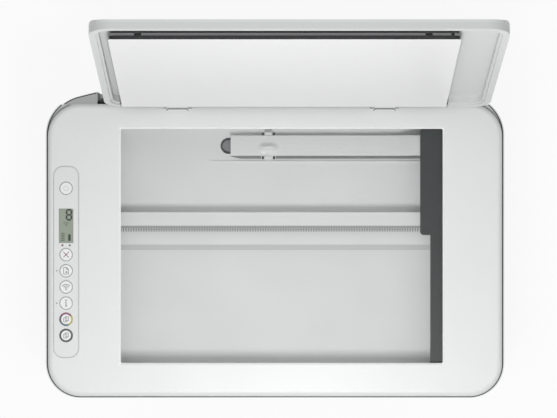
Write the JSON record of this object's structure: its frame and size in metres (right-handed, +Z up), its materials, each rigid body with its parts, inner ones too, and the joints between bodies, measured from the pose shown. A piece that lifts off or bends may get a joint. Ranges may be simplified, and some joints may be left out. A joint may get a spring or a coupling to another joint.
{
  "type": "inkjet printer",
  "caption": "Compact all-in-one inkjet printer with a flatbed scanner, its lid hinged open, side control strip, rear paper feed and front output tray.",
  "frame": {"origin": "middle of the stored part's footprint, lid open, on the surface that the feet stand on", "axes": "+X to the user's right, +Y to the rear, +Z up"},
  "size_m": [0.425, 0.3326, 0.3984],
  "materials": {
    "white_plastic": "satin moulded plastic, fine texture",
    "pale_plastic": "fine textured plastic",
    "bed_plastic": "matt moulded plastic",
    "dark_plastic": "matt black plastic",
    "gear_plastic": "natural acetal",
    "steel": "zinc plated steel",
    "rubber": "soft rubber",
    "glass": "clear float glass",
    "film": "white film",
    "foam": "grey sponge foam",
    "panel": "satin white plastic",
    "display": "green grey liquid crystal",
    "buttons": "satin moulded plastic",
    "circuit": "green solder mask"
  },
  "bodies": {
    "case": {"base_tub": "pale_plastic", "feet": "rubber", "housing_screws": "steel", "main_housing": "white_plastic", "scanner_base": "bed_plastic", "scan_rack": "dark_plastic", "scan_ribbon": "film", "scanner_bezel": "white_plastic", "platen_glass": "glass", "control_panel": "panel", "lcd_display": "display", "control_board": "circuit", "hinge_brackets": "pale_plastic", "side_frames": "dark_plastic", "print_platen": "bed_plastic", "rear_chute": "bed_plastic", "star_wheel_bar": "bed_plastic", "carriage_rail": "steel", "carriage_belt": "rubber", "drive_motors": "steel", "service_station": "bed_plastic", "main_board": "circuit", "usb_port": "dark_plastic", "power_inlet": "dark_plastic", "power_supply": "dark_plastic"},
    "lid": {"lid_shell": "white_plastic", "pad_foam": "foam", "pad_carrier": "bed_plastic", "document_pad": "film"},
    "scan_head": {"scan_carriage": "dark_plastic", "sensor_bar": "glass"},
    "scan_pinion": {"scan_pinion": "gear_plastic"},
    "print_head": {"print_carriage": "dark_plastic", "black_cartridge": "dark_plastic", "color_cartridge": "dark_plastic"},
    "motor_pulley": {"motor_pulley": "gear_plastic"},
    "idler_pulley": {"idler_pulley": "gear_plastic"},
    "feed_pinion": {"feed_pinion": "gear_plastic"},
    "feed_roller": {"feed_shaft": "steel", "feed_tyres": "rubber"},
    "idler_gear": {"idler_gear": "gear_plastic"},
    "exit_roller": {"exit_shaft": "steel", "exit_tyres": "rubber"},
    "pickup_roller": {"pickup_shaft": "steel", "pickup_tyre": "rubber"},
    "star_wheels": {"star_wheels": "gear_plastic"},
    "pinch_rollers": {"pinch_rollers": "gear_plastic"},
    "access_door": {"access_door": "white_plastic"},
    "output_tray": {"output_tray": "pale_plastic"},
    "output_extender": {"output_extender": "pale_plastic"},
    "input_tray": {"input_tray": "white_plastic"},
    "input_extension": {"input_extension": "white_plastic"},
    "width_guide": {"width_guide": "pale_plastic"},
    "power_button": {"power_button": "buttons"},
    "cancel_button": {"cancel_button": "buttons"},
    "resume_button": {"resume_button": "buttons"},
    "wireless_button": {"wireless_button": "buttons"},
    "info_button": {"info_button": "buttons"},
    "color_copy_button": {"color_copy_button": "buttons"},
    "black_copy_button": {"black_copy_button": "buttons"}
  },
  "joints": [
    {"name": "lid_hinge", "type": "hinge", "parent": "case", "child": "lid", "pos_m": [0, 0.10473, 0.146], "axis": [1, 0, 0], "range_deg": [0, 102.8]},
    {"name": "scan_slide", "type": "slide", "parent": "case", "child": "scan_head", "axis": [-1, 0, 0], "range_m": [0, 0.295], "deforming": ["scan_ribbon"]},
    {"name": "scan_pinion_spin", "type": "hinge", "parent": "scan_head", "child": "scan_pinion", "pos_m": [0.15025, -0.01502, 0.126], "axis": [0, 0, 1], "continuous": true},
    {"name": "print_slide", "type": "slide", "parent": "case", "child": "print_head", "axis": [-1, 0, 0], "range_m": [0, 0.285]},
    {"name": "motor_pulley_spin", "type": "hinge", "parent": "case", "child": "motor_pulley", "pos_m": [-0.186, 0.02623, 0.09], "axis": [0, 1, 0], "continuous": true},
    {"name": "idler_pulley_spin", "type": "hinge", "parent": "case", "child": "idler_pulley", "pos_m": [0.186, 0.02623, 0.09], "axis": [0, 1, 0], "continuous": true},
    {"name": "pinion_spin", "type": "hinge", "parent": "case", "child": "feed_pinion", "pos_m": [-0.126, 0.03533, 0.035], "axis": [1, 0, 0], "continuous": true},
    {"name": "feed_drive", "type": "hinge", "parent": "case", "child": "feed_roller", "pos_m": [0, 0.01773, 0.035], "axis": [1, 0, 0], "continuous": true},
    {"name": "idler_spin", "type": "hinge", "parent": "case", "child": "idler_gear", "pos_m": [-0.126, -0.01125, 0.02725], "axis": [1, 0, 0], "continuous": true},
    {"name": "exit_spin", "type": "hinge", "parent": "case", "child": "exit_roller", "pos_m": [0, -0.03827, 0.036], "axis": [1, 0, 0], "continuous": true},
    {"name": "pickup_spin", "type": "hinge", "parent": "case", "child": "pickup_roller", "pos_m": [0, 0.05933, 0.046], "axis": [1, 0, 0], "continuous": true},
    {"name": "star_spin", "type": "hinge", "parent": "case", "child": "star_wheels", "pos_m": [0, -0.03827, 0.0463], "axis": [1, 0, 0], "continuous": true},
    {"name": "pinch_spin", "type": "hinge", "parent": "case", "child": "pinch_rollers", "pos_m": [0, 0.01773, 0.0463], "axis": [1, 0, 0], "continuous": true},
    {"name": "door_hinge", "type": "hinge", "parent": "case", "child": "access_door", "pos_m": [0, -0.16377, 0.0655], "axis": [1, 0, 0], "range_deg": [0, 85]},
    {"name": "tray_slide", "type": "slide", "parent": "case", "child": "output_tray", "axis": [0, -1, 0], "range_m": [0, 0.085]},
    {"name": "extender_slide", "type": "slide", "parent": "output_tray", "child": "output_extender", "axis": [0, -1, 0], "range_m": [0, 0.075]},
    {"name": "input_tray_hinge", "type": "hinge", "parent": "case", "child": "input_tray", "pos_m": [0, 0.11373, 0.057], "axis": [1, 0, 0], "range_deg": [0, 30]},
    {"name": "extension_slide", "type": "slide", "parent": "input_tray", "child": "input_extension", "axis": [0, 0.5, 0.866], "range_m": [0, 0.022]},
    {"name": "guide_slide", "type": "slide", "parent": "input_tray", "child": "width_guide", "axis": [-1, 0, 0], "range_m": [0, 0.09]},
    {"name": "power_button_press", "type": "slide", "parent": "case", "child": "power_button", "axis": [0, 0, -1], "range_m": [0, 0.0006], "stiffness_N_per_m": 1500},
    {"name": "cancel_button_press", "type": "slide", "parent": "case", "child": "cancel_button", "axis": [0, 0, -1], "range_m": [0, 0.0006], "stiffness_N_per_m": 1500},
    {"name": "resume_button_press", "type": "slide", "parent": "case", "child": "resume_button", "axis": [0, 0, -1], "range_m": [0, 0.0006], "stiffness_N_per_m": 1500},
    {"name": "wireless_button_press", "type": "slide", "parent": "case", "child": "wireless_button", "axis": [0, 0, -1], "range_m": [0, 0.0006], "stiffness_N_per_m": 1500},
    {"name": "info_button_press", "type": "slide", "parent": "case", "child": "info_button", "axis": [0, 0, -1], "range_m": [0, 0.0006], "stiffness_N_per_m": 1500},
    {"name": "color_copy_button_press", "type": "slide", "parent": "case", "child": "color_copy_button", "axis": [0, 0, -1], "range_m": [0, 0.0006], "stiffness_N_per_m": 1500},
    {"name": "black_copy_button_press", "type": "slide", "parent": "case", "child": "black_copy_button", "axis": [0, 0, -1], "range_m": [0, 0.0006], "stiffness_N_per_m": 1500}
  ],
  "couplings": [
    {"joint": "scan_pinion_spin", "follows": "scan_slide", "rad_per_m": -190.48},
    {"joint": "motor_pulley_spin", "follows": "print_slide", "rad_per_m": 156.25},
    {"joint": "idler_pulley_spin", "follows": "print_slide", "rad_per_m": 156.25},
    {"joint": "pinion_spin", "follows": "feed_drive", "ratio": -2.6667},
    {"joint": "idler_spin", "follows": "feed_drive", "ratio": -0.74419},
    {"joint": "exit_spin", "follows": "feed_drive", "ratio": 1.1429},
    {"joint": "pickup_spin", "follows": "feed_drive", "ratio": 0.59259},
    {"joint": "star_spin", "follows": "feed_drive", "ratio": -1.7143},
    {"joint": "pinch_spin", "follows": "feed_drive", "ratio": -1.75}
  ]
}
